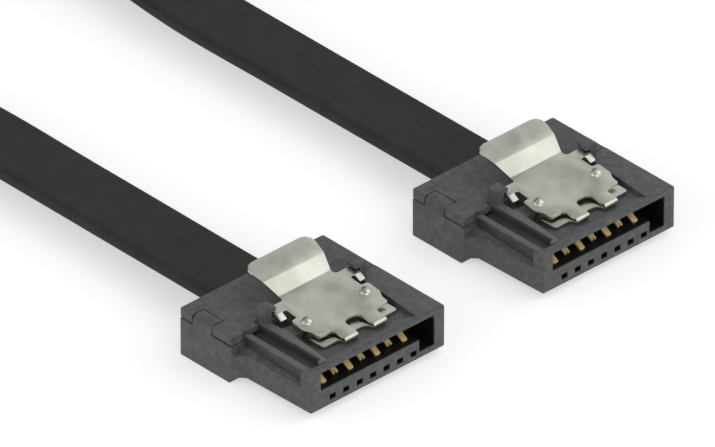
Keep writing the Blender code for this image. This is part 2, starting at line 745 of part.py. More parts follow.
def dimple_tools(side):
    """A lanced dimple: the dome raised on the plate's top, the hollow under it and its slit."""
    x = PLATE_START + DIMPLE_FROM_FOLD
    y = side * DIMPLE_OUT
    raised = moved(dome(DIMPLE_WIDTH, DIMPLE_HEIGHT, -SHEET / 2), x, y)
    hollow = moved(dome(DIMPLE_WIDTH - SHEET, DIMPLE_HEIGHT, SHEET / 2), x, y)
    slit_x = x + SLIT_SETBACK
    half_slit = DIMPLE_WIDTH / 2 - SHEET / 2
    slit = box(
        (slit_x, slit_x + DIMPLE_SLIT), (y - half_slit, y + half_slit), (-SHEET * 3, SHEET * 3)
    )
    return raised, hollow, slit


def clip_pieces():
    """The clip's middle line from the leaf's rear edge: lengths, and how far each piece turns."""
    first_turn = RAMP_TILT - PLATE_TILT
    second_turn = RAMP_TILT - LEVER_TILT
    first_arc = BEND_RADIUS * first_turn
    second_arc = BEND_RADIUS * second_turn
    return [
        (LEAF_LENGTH, 0),
        (FOLD_RADIUS * FOLD_TURN, FOLD_TURN),
        (PLATE_LENGTH - first_arc / 2, 0),
        (first_arc, -first_turn),
        (RAMP_LENGTH - first_arc / 2 - second_arc / 2, 0),
        (second_arc, second_turn),
        (LEVER_LENGTH - second_arc / 2, 0),
    ]


def droop_ears(blank):
    """Bend the free tips of the two ears down, before the blank is folded."""
    root = PLATE_START + EAR_ROOT
    ahead = PLATE_START + (FLANK_END + EAR_START) / 2
    side = (NOTCH_INNER + EAR_INNER) / 2
    bm = bmesh.new()
    bm.from_mesh(blank.data)
    everything = bm.verts[:] + bm.edges[:] + bm.faces[:]
    bmesh.ops.bisect_plane(bm, geom=everything, plane_co=(root, 0, 0), plane_no=(1, 0, 0))
    for vert in bm.verts:
        if ahead < vert.co.x < root and abs(vert.co.y) > side:
            vert.co.z += (root - vert.co.x) * math.tan(EAR_DROOP)
    bm.to_mesh(blank.data)
    bm.free()


def build_clip(paint):
    """The latch clip, folded from one sheet, with its origin on the fold that it springs about."""
    solid = prism(clip_outline(), "Z", -SHEET / 2, SHEET / 2)
    gap = mirrored([
        (LEAF_LENGTH - GAP_IN_LEAF, FINGER_GAP, FINGER_GAP * 0.7),
        (PLATE_START + GAP_IN_PLATE, FINGER_GAP, FINGER_GAP * 0.7),
    ])
    gap_cutter = prism(rounded(gap), "Z", -SHEET, SHEET)
    dimples = [dimple_tools(-1), dimple_tools(1)]
    boolean(solid, "UNION", [raised for raised, hollow, slit in dimples])
    hollows = [tool for raised, hollow, slit in dimples for tool in (hollow, slit)]
    boolean(solid, "DIFFERENCE", [gap_cutter] + hollows)
    droop_ears(solid)
    fold(solid, clip_pieces(), (-LEAF_LENGTH, -FOLD_RADIUS))
    return finished_mesh(solid, "latch_clip", paint)


def contact_pieces(setback):
    """A contact's middle line from its tail: along the roof, round the elbow and down."""
    arc = CONTACT_BEND * CONTACT_SLOPE
    along = HOUSING_LENGTH - CONTACT_ELBOW - CONTACT_TAIL - arc / 2
    down = (CONTACT_ELBOW - CONTACT_TIP_GAP - setback) / math.cos(CONTACT_SLOPE) - arc / 2
    return [(along, 0), (arc, -CONTACT_SLOPE), (down, 0)]


def build_contact(name, forked, paint):
    """A sprung terminal, with a blunt or a forked tip."""
    pieces = contact_pieces(FORK_SETBACK if forked else 0)
    length = sum(piece[0] for piece in pieces)
    half = CONTACT_WIDTH / 2
    corners = [(0, half, 0), (length, half, half / 2)]
    outline = rounded(mirrored(corners), steps=2)
    if forked:
        tip = [(length, half, half / 4), (length, FORK_WIDTH / 2, 0), (length - FORK_DEPTH, 0, 0)]
        lower = [(a, -b, radius) for a, b, radius in reversed(tip[:2])]
        outline = rounded([(0, half, 0)] + tip + lower + [(0, -half, 0)], steps=1)
    solid = prism(outline, "Z", -CONTACT_THICKNESS / 2, CONTACT_THICKNESS / 2)
    fold(solid, pieces, (CONTACT_TAIL, CONTACT_HEIGHT))
    return finished_mesh(solid, name, paint)


def whole_route():
    """Every route point in metres, from connector a round the loop to connector b."""
    start = (RIBBON_START_X / MM, -CONNECTOR_SPACING / (2 * MM), RIBBON_HEIGHT / MM, 0)
    half = [start] + list(HALF_ROUTE)
    other = [(x, -y, z, 180 - turn) for x, y, z, turn in reversed(half)]
    points = half + [LOOP_BACK] + other
    return [Vector((x * MM, y * MM, z * MM, math.radians(turn))) for x, y, z, turn in points]


def smooth_route(points, samples=24):
    """A dense Catmull-Rom curve through the route's points."""
    padded = [2 * points[0] - points[1]] + points + [2 * points[-1] - points[-2]]
    dense = []
    for index in range(1, len(padded) - 2):
        p0, p1, p2, p3 = padded[index - 1 : index + 3]
        for step in range(samples):
            t = step / samples
            pull = (p2 - p0) * t
            bend = (2 * p0 - 5 * p1 + 4 * p2 - p3) * t**2
            swing = (3 * p1 - p0 - 3 * p2 + p3) * t**3
            dense.append(p1 + (pull + bend + swing) / 2)
    dense.append(points[-1])
    return dense


def evenly_spaced(dense, spacing):
    """Points at one spacing along a dense curve, with both of its ends."""
    lengths = [0.0]
    for before, after in zip(dense, dense[1:]):
        lengths.append(lengths[-1] + (after.xyz - before.xyz).length)
    count = round(lengths[-1] / spacing)
    spaced = []
    index = 0
    for step in range(count + 1):
        target = lengths[-1] * step / count
        while index < len(lengths) - 2 and lengths[index + 1] < target:
            index += 1
        share = (target - lengths[index]) / (lengths[index + 1] - lengths[index])
        spaced.append(dense[index].lerp(dense[index + 1], share))
    return spaced


def closed_curve(name, outline):
    """A flat closed curve from an outline, for use as a section."""
    curve = bpy.data.curves.new(name, "CURVE")
    curve.dimensions = "2D"
    spline = curve.splines.new("POLY")
    spline.points.add(len(outline) - 1)
    spline.use_cyclic_u = True
    for place_in_spline, (a, b) in zip(spline.points, outline):
        place_in_spline.co = (a, b, 0, 1)
    return curve


def build_ribbon(paint):
    """The ribbon: a rounded flat section swept along its route, turned onto its edge in the loop."""
    half_width = RIBBON_WIDTH / 2
    half_thickness = RIBBON_THICKNESS / 2
    section = rounded(mirrored([
        (-half_width, half_thickness, RIBBON_ROUND),
        (half_width, half_thickness, RIBBON_ROUND),
    ]), steps=2)
    guide = place("ribbon_section", closed_curve("ribbon_section", section), None)
    guide.hide_render = True
    guide.display_type = "WIRE"
    curve = bpy.data.curves.new("flat_cable", "CURVE")
    curve.dimensions = "3D"
    curve.twist_mode = "Z_UP"
    curve.bevel_mode = "OBJECT"
    curve.bevel_object = guide
    curve.use_fill_caps = True
    route = evenly_spaced(smooth_route(whole_route()), RIBBON_STEP)
    spline = curve.splines.new("POLY")
    spline.points.add(len(route) - 1)
    for point, (x, y, z, turn) in zip(spline.points, route):
        point.co = (x, y, z, 1)
        point.tilt = turn
    curve.materials.append(paint)
    return place("flat_cable", curve, None)


def main():
    """Build both connectors from the shared meshes, and the ribbon between them."""
    clear_scene()
    plastic = material("moulded_plastic", HOUSING_COLOUR, 0.5, 0.0)
    steel = material("spring_steel", STEEL_COLOUR, 0.35, 1.0)
    gold = material("gold_plate", GOLD_COLOUR, 0.3, 1.0)
    jacket = material("ribbon_jacket", RIBBON_COLOUR, 0.55, 0.0)
    housing = build_housing(plastic)
    cover = build_cover(plastic)
    clip = build_clip(steel)
    blunt = build_contact("contact_blunt", False, gold)
    forked = build_contact("contact_forked", True, gold)
    for index, name in enumerate(CONNECTOR_NAMES):
        y = (index - 0.5) * CONNECTOR_SPACING
        frame = place(f"connector_{name}", None, None, (-HOUSING_LENGTH / 2, y, 0))
        place(f"housing_{name}", housing, frame)
        place(f"rear_cover_{name}", cover, frame)
        hinge = place(f"latch_hinge_{name}", None, frame, (FOLD_X, LATCH_Y, FOLD_HEIGHT))
        place(f"latch_clip_{name}", clip, hinge)
        for number, offset in enumerate(contact_offsets(), start=1):
            mesh = forked if number % 2 == 0 else blunt
            place(f"contact_{name}_{number}", mesh, frame, (0, offset + CONTACT_SHIFT, 0))
    build_ribbon(jacket)


main()
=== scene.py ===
"""Dresses a flat serial data cable: a black ribbon with a latching connector on each end.

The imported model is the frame. This script gives every solid its finish, sweeps the ribbon with its
fine ribs, and sets a plain studio round the two connectors.
"""

import logging
import math
from dataclasses import dataclass
from enum import Enum

import bmesh
import bpy
from bmesh.types import BMesh
from bpy.types import Material, Mesh, Node, NodeSocket, NodeTree, Object
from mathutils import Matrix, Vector


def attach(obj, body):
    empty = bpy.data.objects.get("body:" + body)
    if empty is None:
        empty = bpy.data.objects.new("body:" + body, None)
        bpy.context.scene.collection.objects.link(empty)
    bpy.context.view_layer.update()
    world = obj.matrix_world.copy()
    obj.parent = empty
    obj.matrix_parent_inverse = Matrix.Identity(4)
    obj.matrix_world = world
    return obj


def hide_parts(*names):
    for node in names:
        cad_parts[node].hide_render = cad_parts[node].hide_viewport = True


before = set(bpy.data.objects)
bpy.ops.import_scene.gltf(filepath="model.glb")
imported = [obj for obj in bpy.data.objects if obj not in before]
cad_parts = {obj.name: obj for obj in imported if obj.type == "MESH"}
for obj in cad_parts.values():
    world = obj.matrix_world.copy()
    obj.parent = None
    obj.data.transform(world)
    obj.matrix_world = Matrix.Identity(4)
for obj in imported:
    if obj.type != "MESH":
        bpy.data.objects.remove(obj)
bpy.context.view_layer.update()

Span = tuple[float, float]
Triple = tuple[float, float, float]
Box = tuple[Span, Span, Span]

LOG = logging.getLogger("flat_data_cable")
MM = 0.001
ROOT_BODY = "cable_and_housings"
CONNECTOR_SPACING = 22 * MM
MERGE_DISTANCE = 0.0001 * MM
NEAR = 0.001 * MM
UNSCALED: Triple = (1.0, 1.0, 1.0)
WHITE: Triple = (1.0, 1.0, 1.0)


class ConnectorEnd(Enum):
    """The two connectors, by the letter that their nodes end in."""

    NEAR = "a"
    FAR = "b"


class Joining(Enum):
    """How a tool changes a solid."""

    TAKE_AWAY = "DIFFERENCE"
    ADD = "UNION"


class Socket(Enum):
    """The shader sockets that a finish sets or links."""

    COLOUR = "Base Color"
    ROUGHNESS = "Roughness"
    METALLIC = "Metallic"
    SPECULAR = "Specular IOR Level"
    NORMAL = "Normal"


def merged_copy(node_name: str) -> BMesh:
    """Copy a CAD solid into a mesh that is welded and has no normals of its own.

    Args:
        node_name: The solid's node.

    Returns:
        The welded mesh.
    """
    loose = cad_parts[node_name].data.copy()
    if "custom_normal" in loose.attributes:
        loose.attributes.remove(loose.attributes["custom_normal"])
    bm = bmesh.new()
    bm.from_mesh(loose)
    bpy.data.meshes.remove(loose)
    bmesh.ops.remove_doubles(bm, verts=bm.verts, dist=MERGE_DISTANCE)
    for edge in bm.edges:
        edge.smooth = True
    return bm


def linked_object(name: str, bm: BMesh) -> Object:
    """Make an object of a mesh and link it to the scene.

    Args:
        name: The name of the object and its mesh.
        bm: The mesh, which is freed.

    Returns:
        The object.
    """
    mesh = bpy.data.meshes.new(name)
    bm.to_mesh(mesh)
    bm.free()
    piece = bpy.data.objects.new(name, mesh)
    bpy.context.scene.collection.objects.link(piece)
    return piece


def dress(mesh: Mesh, finish: Material) -> None:
    """Make a finish the mesh's only one.

    Args:
        mesh: The mesh.
        finish: Its material.
    """
    mesh.materials.clear()
    mesh.materials.append(finish)


def shade(mesh: Mesh, sharp: float) -> None:
    """Shade a mesh smooth, and keep its sharp edges.

    Args:
        mesh: The mesh.
        sharp: The angle over which an edge stays sharp, in radians.
    """
    mesh.shade_smooth()
    mesh.set_sharp_from_angle(angle=sharp)


def plainly_seen(tree: NodeTree) -> NodeSocket:
    """A factor of 1 to the eye, in reflections and through glass, and 0 as light on a surface.

    Args:
        tree: The node tree that it goes into.

    Returns:
        The factor socket.
    """
    path = tree.nodes.new("ShaderNodeLightPath")
    seen = path.outputs["Is Camera Ray"]
    for ray in ("Is Glossy Ray", "Is Transmission Ray"):
        either = tree.nodes.new("ShaderNodeMath")
        either.operation = "MAXIMUM"
        tree.links.new(seen, either.inputs[0])
        tree.links.new(path.outputs[ray], either.inputs[1])
        seen = either.outputs[0]
    return seen


@dataclass(frozen=True)
class Pattern:
    """A noise on Object coordinates.

    It has a number of cells in a metre, finer layers of some strength, and a scale on each axis.
    """

    per_metre: float
    layers: float
    layer_strength: float = 0.5
    scale: Triple = UNSCALED


class ShaderGraph:
    """A material's node tree, with short calls for the nodes that the finishes share."""

    def __init__(self, name: str) -> None:
        """Make an empty material.

        Args:
            name: The material's name.
        """
        self.material = bpy.data.materials.new(name)
        self.material.use_nodes = True
        self.tree = self.material.node_tree
        self.nodes = self.tree.nodes
        self.links = self.tree.links
        self.nodes.clear()
        self.output = self.nodes.new("ShaderNodeOutputMaterial")

    def principled(self, roughness: float, metallic: float, specular: float = 0.5) -> Node:
        """Add the Principled shader and link it to the output.

        Args:
            roughness: Its roughness where nothing is linked.
            metallic: Its metallic value.
            specular: Its specular level.

        Returns:
            The shader node.
        """
        shader = self.nodes.new("ShaderNodeBsdfPrincipled")
        shader.inputs[Socket.ROUGHNESS.value].default_value = roughness
        shader.inputs[Socket.METALLIC.value].default_value = metallic
        shader.inputs[Socket.SPECULAR.value].default_value = specular
        self.links.new(shader.outputs[0], self.output.inputs["Surface"])
        return shader

    def feed(self, shader: Node, socket: Socket, value: NodeSocket) -> None:
        """Link a value to one of a shader's sockets.

        Args:
            shader: The shader node.
            socket: Which of its sockets.
            value: The value's socket.
        """
        self.links.new(value, shader.inputs[socket.value])

    def object_coordinates(self, scale: Triple) -> NodeSocket:
        """Object coordinates, stretched by a scale on each axis.

        Args:
            scale: The factor on X, Y and Z.

        Returns:
            The vector socket.
        """
        coordinates = self.nodes.new("ShaderNodeTexCoord")
        mapping = self.nodes.new("ShaderNodeMapping")
        mapping.inputs["Scale"].default_value = scale
        self.links.new(coordinates.outputs["Object"], mapping.inputs["Vector"])
        return mapping.outputs[0]

    def noise(self, pattern: Pattern) -> NodeSocket:
        """A noise pattern.

        Args:
            pattern: Its scale and its layers.

        Returns:
            The factor socket.
        """
        node = self.nodes.new("ShaderNodeTexNoise")
        node.inputs["Scale"].default_value = pattern.per_metre
        node.inputs["Detail"].default_value = pattern.layers
        node.inputs["Roughness"].default_value = pattern.layer_strength
        self.links.new(self.object_coordinates(pattern.scale), node.inputs["Vector"])
        return node.outputs["Fac"]

    def split_coordinates(self) -> list[NodeSocket]:
        """The object coordinates' X, Y and Z sockets."""
        split = self.nodes.new("ShaderNodeSeparateXYZ")
        self.links.new(self.object_coordinates(UNSCALED), split.inputs[0])
        return list(split.outputs)

    def math(self, operation: str, first: NodeSocket, *others: NodeSocket | float) -> NodeSocket:
        """A sum on sockets and numbers.

        Args:
            operation: The math node's operation.
            first: Its first input.
            others: Its other inputs, each a socket or a number.

        Returns:
            The result's socket.
        """
        node = self.nodes.new("ShaderNodeMath")
        node.operation = operation
        self.links.new(first, node.inputs[0])
        for index, value in enumerate(others, start=1):
            if isinstance(value, NodeSocket):
                self.links.new(value, node.inputs[index])
            else:
                node.inputs[index].default_value = value
        return node.outputs[0]

    def mix(self, factor: NodeSocket, below: NodeSocket, above: Triple) -> NodeSocket:
        """Lay a colour over another by a factor.

        Args:
            factor: How much of the upper colour shows.
            below: The lower colour's socket.
            above: The upper colour.

        Returns:
            The mixed colour's socket.
        """
        node = self.nodes.new("ShaderNodeMix")
        node.data_type = "RGBA"
        self.links.new(factor, node.inputs[0])
        self.links.new(below, node.inputs[6])
        node.inputs[7].default_value = (*above, 1.0)
        return node.outputs[2]

    def ramp(self, factor: NodeSocket, stops: tuple[tuple[float, Triple], ...]) -> NodeSocket:
        """A colour ramp.

        Args:
            factor: The socket that drives it.
            stops: Each stop's place and colour.

        Returns:
            The colour socket.
        """
        node = self.nodes.new("ShaderNodeValToRGB")
        elements = node.color_ramp.elements
        while len(elements) < len(stops):
            elements.new(0.5)
        for element, (place, colour) in zip(elements, stops):
            element.position = place
            element.color = (*colour, 1.0)
        self.links.new(factor, node.inputs["Fac"])
        return node.outputs["Color"]

    def spread(self, factor: NodeSocket, low: float, high: float) -> NodeSocket:
        """Map a factor of 0.3 to 0.7, which a noise mostly gives, on to a range.

        Args:
            factor: The socket to map.
            low: The value at 0.3.
            high: The value at 0.7.

        Returns:
            The mapped socket.
        """
        node = self.nodes.new("ShaderNodeMapRange")
        node.inputs["From Min"].default_value = 0.3
        node.inputs["From Max"].default_value = 0.7
        node.inputs["To Min"].default_value = low
        node.inputs["To Max"].default_value = high
        self.links.new(factor, node.inputs["Value"])
        return node.outputs[0]

    def bump(self, height: NodeSocket, depth: float, before: NodeSocket | None = None) -> NodeSocket:
        """A bump from a height.

        Args:
            height: The height socket, from 0 to 1.
            depth: The height's size in metres.
            before: The normal of a bump under this one.

        Returns:
            The normal socket.
        """
        node = self.nodes.new("ShaderNodeBump")
        node.inputs["Strength"].default_value = 1.0
        node.inputs["Distance"].default_value = depth
        self.links.new(height, node.inputs["Height"])
        if before is not None:
            self.links.new(before, node.inputs["Normal"])
        return node.outputs["Normal"]


@dataclass(frozen=True)
class MouldedPlastic:
    """Charcoal glass-filled nylon: softly cloudy, with a fine grain.

    It is painted near-black inside the slot as shade, painted darker as shade in the relief's hollows, and
    painted lighter as a highlight on the ridge and rail tops. Each box has its limits on X, Y and Z, with Y
    from the connector's own middle.
    """

    name: str = "charcoal_moulding"
    dark: Triple = (0.060, 0.065, 0.067)
    middle: Triple = (0.085, 0.090, 0.090)
    light: Triple = (0.130, 0.134, 0.130)
    # Painted highlight: the ridge and rail tops are painted lighter, as where light falls on them.
    painted_highlight: Triple = (0.155, 0.157, 0.150)
    highlight_strength: float = 0.6
    # Painted shade: the relief's wall and groove are painted darker, as where shade falls in them.
    shadowed: Triple = (0.030, 0.032, 0.034)
    shadow_strength: float = 0.75
    # Painted shade: the slot's inside is painted near-black, where little light reaches.
    painted_slot_shade: Triple = (0.006, 0.006, 0.006)
    cloud: Pattern = Pattern(1600.0, 6.0, 0.68)
    cloud_depth: float = 0.012 * MM
    grain: Pattern = Pattern(12000.0, 3.0)
    grain_depth: float = 0.004 * MM
    roughness: Span = (0.42, 0.58)
    specular: float = 0.35
    blur: float = 0.06 * MM
    relief_wall: Box = ((-0.9 * MM, 5.22 * MM), (-5.58 * MM, -5.4 * MM), (1.9 * MM, 3.4 * MM))
    groove: Box = ((-0.9 * MM, 5.6 * MM), (-5.06 * MM, -3.9 * MM), (3.1 * MM, 3.72 * MM))
    ridge_top: Box = ((-0.9 * MM, 5.64 * MM), (-5.6 * MM, -4.92 * MM), (3.42 * MM, 3.66 * MM))
    rail_top: Box = ((-0.9 * MM, 5.9 * MM), (-5.0 * MM, -2.8 * MM), (3.83 * MM, 4.02 * MM))
    slot: Box = ((-2.0 * MM, 6.1 * MM), (-5.03 * MM, 5.86 * MM), (0.85 * MM, 3.16 * MM))

    def patches(self) -> tuple[tuple[Box, Triple, float], ...]:
        """Each box with its painted shade or painted highlight and its strength, from the lowest layer up.
        """
        return (
            (self.relief_wall, self.shadowed, self.shadow_strength),
            (self.groove, self.shadowed, self.shadow_strength),
            (self.ridge_top, self.painted_highlight, self.highlight_strength),
            (self.rail_top, self.painted_highlight, self.highlight_strength),
            (self.slot, self.painted_slot_shade, 1.0),
        )

    def own_place(self, graph: ShaderGraph) -> tuple[NodeSocket, NodeSocket, NodeSocket]:
        """A point's X, Y and Z, with Y from the middle of the connector that it is on.

        Args:
            graph: The material's graph.

        Returns:
            The three sockets.
        """
        x, y, z = graph.split_coordinates()
        half_gap = CONNECTOR_SPACING / 2
        moved = graph.math("ADD", y, half_gap)
        return x, graph.math("WRAP", moved, half_gap, -half_gap), z

    def inside(
        self, graph: ShaderGraph, place: tuple[NodeSocket, ...], box: Box, strength: float
    ) -> NodeSocket:
        """A factor that is raised inside a box of either connector, and 0 outside it.

        Args:
            graph: The material's graph.
            place: The point's own place.
            box: The box.
            strength: The factor inside.

        Returns:
            The factor socket.
        """
        total = None
        for along, limits in zip(place, box):
            for limit, way in zip(limits, (1.0, -1.0)):
                past = graph.math("MULTIPLY_ADD", along, way / self.blur, -way * limit / self.blur)
                past.node.use_clamp = True
                total = past if total is None else graph.math("MULTIPLY", total, past)
        return graph.math("MULTIPLY", total, strength)

    def material(self) -> Material:
        """Build the material."""
        graph = ShaderGraph(self.name)
        shader = graph.principled(self.roughness[0], 0.0, self.specular)
        cloud = graph.noise(self.cloud)
        grain = graph.noise(self.grain)
        colour = graph.ramp(cloud, ((0.3, self.dark), (0.5, self.middle), (0.72, self.light)))
        place = self.own_place(graph)
        # Lay the painted shade and painted highlight over the cloudy colour, box by box.
        for box, paint, strength in self.patches():
            colour = graph.mix(self.inside(graph, place, box, strength), colour, paint)
        rolling = graph.bump(cloud, self.cloud_depth)
        graph.feed(shader, Socket.COLOUR, colour)
        graph.feed(shader, Socket.ROUGHNESS, graph.spread(grain, *self.roughness))
        graph.feed(shader, Socket.NORMAL, graph.bump(grain, self.grain_depth, rolling))
        return graph.material


@dataclass(frozen=True)
class SpringSteel:
    """Satin rolled stainless sheet, faintly warm, with a soft cloudiness."""

    name: str = "spring_steel"
    dark: Triple = (0.49, 0.49, 0.43)
    light: Triple = (0.58, 0.58, 0.52)
    cloud: Pattern = Pattern(700.0, 2.0, 0.45)
    rolled_grain: Pattern = Pattern(14000.0, 2.0, scale=(0.15, 1.0, 1.0))
    grain_depth: float = 0.001 * MM
    roughness: Span = (0.25, 0.33)

    def material(self) -> Material:
        """Build the material."""
        graph = ShaderGraph(self.name)
        shader = graph.principled(self.roughness[0], 1.0)
        cloud = graph.noise(self.cloud)
        grain = graph.noise(self.rolled_grain)
        graph.feed(shader, Socket.COLOUR, graph.ramp(cloud, ((0.35, self.dark), (0.68, self.light))))
        graph.feed(shader, Socket.ROUGHNESS, graph.spread(cloud, *self.roughness))
        graph.feed(shader, Socket.NORMAL, graph.bump(grain, self.grain_depth))
        return graph.material


@dataclass(frozen=True)
class GoldPlate:
    """Gold plating on a stamped terminal, part metal and part plain colour so that it reads as bright."""

    name: str = "gold_plate"
    dark: Triple = (1.0, 0.62, 0.20)
    light: Triple = (1.0, 0.84, 0.46)
    cloud: Pattern = Pattern(3000.0, 3.0)
    roughness: float = 0.28
    metallic: float = 0.45

    def material(self) -> Material:
        """Build the material."""
        graph = ShaderGraph(self.name)
        shader = graph.principled(self.roughness, self.metallic)
        cloud = graph.noise(self.cloud)
        graph.feed(shader, Socket.COLOUR, graph.ramp(cloud, ((0.35, self.dark), (0.6, self.light))))
        return graph.material


@dataclass(frozen=True)
class RibbonJacket:
    """Matt black extruded jacket with a faint warm cast."""

    name: str = "ribbon_jacket"
    dark: Triple = (0.013, 0.0125, 0.0115)
    light: Triple = (0.024, 0.023, 0.0205)
    cloud: Pattern = Pattern(420.0, 6.0, 0.6)
    grain: Pattern = Pattern(11000.0, 2.0)
    grain_depth: float = 0.004 * MM
    roughness: Span = (0.5, 0.65)
    specular: float = 0.25

    def material(self) -> Material:
        """Build the material."""
        graph = ShaderGraph(self.name)
        shader = graph.principled(self.roughness[0], 0.0, self.specular)
        cloud = graph.noise(self.cloud)
        grain = graph.noise(self.grain)
        graph.feed(shader, Socket.COLOUR, graph.ramp(cloud, ((0.3, self.dark), (0.7, self.light))))
        graph.feed(shader, Socket.ROUGHNESS, graph.spread(grain, *self.roughness))
        graph.feed(shader, Socket.NORMAL, graph.bump(grain, self.grain_depth))
        return graph.material


@dataclass(frozen=True)
class StudioWhite:
    """The floor: white to the eye and in reflections, and still holding the soft shadows."""

    name: str = "studio_white"
    albedo: float = 0.78
    lift: float = 0.5

    def material(self) -> Material:
        """Build the material."""
        graph = ShaderGraph(self.name)
        diffuse = graph.nodes.new("ShaderNodeBsdfDiffuse")
        diffuse.inputs["Color"].default_value = (self.albedo, self.albedo, self.albedo, 1.0)
        glow = graph.nodes.new("ShaderNodeEmission")
        glow.inputs["Color"].default_value = (*WHITE, 1.0)
        strength = graph.math("MULTIPLY", plainly_seen(graph.tree), self.lift)
        graph.links.new(strength, glow.inputs["Strength"])
        total = graph.nodes.new("ShaderNodeAddShader")
        for shader, socket in zip((diffuse, glow), total.inputs):
            graph.links.new(shader.outputs[0], socket)
        graph.links.new(total.outputs[0], graph.output.inputs["Surface"])
        return graph.material


@dataclass(frozen=True)
class Lamp:
    """A square area lamp: the way from the object to it, its side in metres and its power in watts."""

    name: str
    towards: Triple
    size: float
    power: float


@dataclass
class Studio:
    """The camera at the photograph's angle, the soft lamps, and the white floor and world."""

    azimuth: float = 46.9
    elevation: float = 33.1
    target: Triple = (-8.523 * MM, 1.248 * MM, 1.15 * MM)
    frame_width: float = 49.81 * MM
    lens: float = 1000.0
    sensor: float = 36.0
    clip_ratio: float = 100.0
    floor_size: float = 3.0
    ambient: float = 0.62
    ceiling: float = 0.6
    ceiling_edge: Span = (0.64, 0.82)
    lamp_distance: float = 0.6
    lamps: tuple[Lamp, ...] = (
        Lamp("key_lamp", (0.42, 0.52, 0.74), 0.62, 1.08),
        Lamp("side_lamp", (-0.15, -0.85, 0.45), 0.35, 0.6),
        Lamp("mouth_lamp", (0.92, -0.22, 0.30), 0.30, 0.75),
    )

    def view_direction(self) -> Vector:
        """The unit vector from the object to the camera."""
        turn, tilt = math.radians(self.azimuth), math.radians(self.elevation)
        return Vector((math.sin(turn) * math.cos(tilt), -math.cos(turn) * math.cos(tilt), math.sin(tilt)))

    def set_camera(self) -> None:
        """Make the camera, as far back as its lens needs to frame the photograph's width."""
        data = bpy.data.cameras.new("camera")
        data.lens = self.lens
        data.sensor_width = self.sensor
        camera = bpy.data.objects.new("camera", data)
        back = self.view_direction()
        distance = self.frame_width * self.lens / self.sensor
        camera.location = Vector(self.target) + back * distance
        camera.rotation_euler = back.to_track_quat("Z", "Y").to_euler()
        data.clip_start = distance / self.clip_ratio
        data.clip_end = distance * self.clip_ratio
        bpy.context.scene.collection.objects.link(camera)
        bpy.context.scene.camera = camera

    def set_lamp(self, lamp: Lamp) -> None:
        """Hang a lamp that shines at the connectors.

        Args:
            lamp: The lamp.
        """
        data = bpy.data.lights.new(lamp.name, "AREA")
        data.size = lamp.size
        data.energy = lamp.power
        hung = bpy.data.objects.new(lamp.name, data)
        direction = Vector(lamp.towards).normalized()
        hung.location = Vector(self.target) + direction * self.lamp_distance
        hung.rotation_euler = direction.to_track_quat("Z", "Y").to_euler()
        hung.visible_camera = False
        bpy.context.scene.collection.objects.link(hung)

    def set_world(self) -> None:
        """A white world: bright to the eye, softer as light on the object, and dimmer overhead."""
        world = bpy.data.worlds.new("studio_world")
        world.use_nodes = True
        tree = world.node_tree
        nodes, links = tree.nodes, tree.links
        nodes.clear()
        strength = nodes.new("ShaderNodeMapRange")
        strength.inputs["To Min"].default_value = self.ambient
        strength.inputs["To Max"].default_value = 1.0
        direction = nodes.new("ShaderNodeTexCoord")
        split = nodes.new("ShaderNodeSeparateXYZ")
        ceiling = nodes.new("ShaderNodeMapRange")
        ceiling.interpolation_type = "SMOOTHSTEP"
        ceiling.inputs["From Min"].default_value = self.ceiling_edge[0]
        ceiling.inputs["From Max"].default_value = self.ceiling_edge[1]
        ceiling.inputs["To Min"].default_value = 1.0
        ceiling.inputs["To Max"].default_value = self.ceiling
        level = nodes.new("ShaderNodeMath")
        level.operation = "MULTIPLY"
        background = nodes.new("ShaderNodeBackground")
        output = nodes.new("ShaderNodeOutputWorld")
        links.new(plainly_seen(tree), strength.inputs["Value"])
        links.new(direction.outputs["Generated"], split.inputs[0])
        links.new(split.outputs["Z"], ceiling.inputs["Value"])
        links.new(strength.outputs[0], level.inputs[0])
        links.new(ceiling.outputs[0], level.inputs[1])
        links.new(level.outputs[0], background.inputs["Strength"])
        links.new(background.outputs[0], output.inputs["Surface"])
        bpy.context.scene.world = world

    def set_floor(self) -> None:
        """Lay the floor that the cable lies on."""
        bm = bmesh.new()
        bmesh.ops.create_grid(bm, x_segments=1, y_segments=1, size=self.floor_size / 2)
        floor = linked_object("floor", bm)
        dress(floor.data, StudioWhite().material())

    def build(self) -> None:
        """Set the lamps, the floor, the world and the plain view transform."""
        for lamp in self.lamps:
            self.set_lamp(lamp)
        self.set_world()
        self.set_floor()
        bpy.context.scene.view_settings.view_transform = "Standard"


